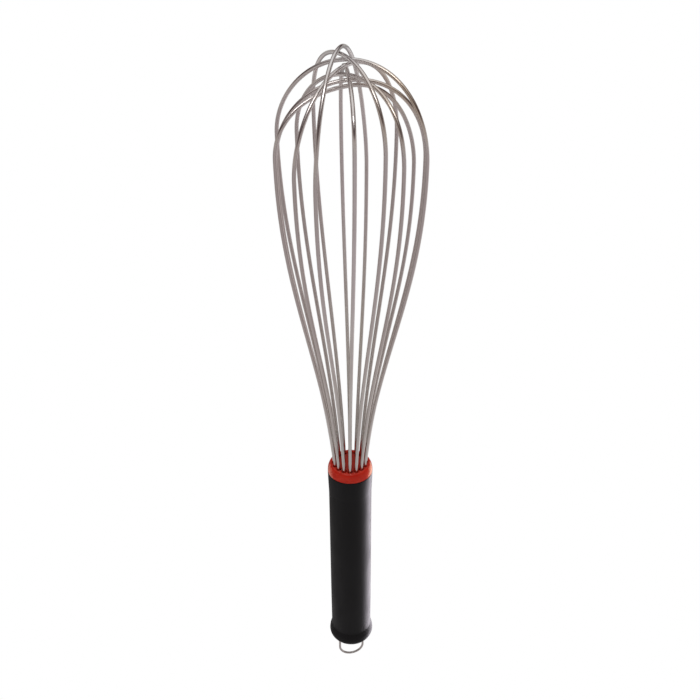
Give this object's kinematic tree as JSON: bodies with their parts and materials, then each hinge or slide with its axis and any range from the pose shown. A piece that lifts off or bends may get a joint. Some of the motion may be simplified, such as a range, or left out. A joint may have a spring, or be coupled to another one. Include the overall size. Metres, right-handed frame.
{
  "type": "balloon whisk",
  "caption": "Hand whisk with a balloon of nested round steel wire loops, a red seal, a black moulded handle and a swinging steel hanging loop.",
  "frame": {"origin": "on the handle's axis, in the middle of the grip, where the hand holds it", "axes": "+Z along the handle's axis towards the balloon, +X to the right and -Y to the front"},
  "size_m": [0.0842, 0.0859, 0.4657],
  "materials": {
    "wire_steel": "drawn and polished stainless spring wire",
    "seal_red": "glossy moulded red",
    "guide_nylon": "natural nylon",
    "potting_resin": "cast amber resin",
    "handle_black": "satin moulded black",
    "plug_black": "satin moulded black",
    "loop_steel": "drawn stainless spring wire"
  },
  "bodies": {
    "whisk": {"wire_loop_1": "wire_steel", "wire_loop_2": "wire_steel", "wire_loop_3": "wire_steel", "wire_loop_4": "wire_steel", "wire_loop_5": "wire_steel", "wire_loop_6": "wire_steel", "wire_loop_7": "wire_steel", "wire_loop_8": "wire_steel", "seal": "seal_red", "wire_guide": "guide_nylon", "potting_block": "potting_resin", "handle": "handle_black", "end_plug": "plug_black"},
    "hanger": {"hanging_loop": "loop_steel"}
  },
  "joints": [
    {"name": "hanging_loop_swing", "type": "hinge", "parent": "whisk", "child": "hanger", "pos_m": [0, 0, -0.082], "axis": [0.9848, 0.1736, 0], "range_deg": [-90, 90]}
  ]
}
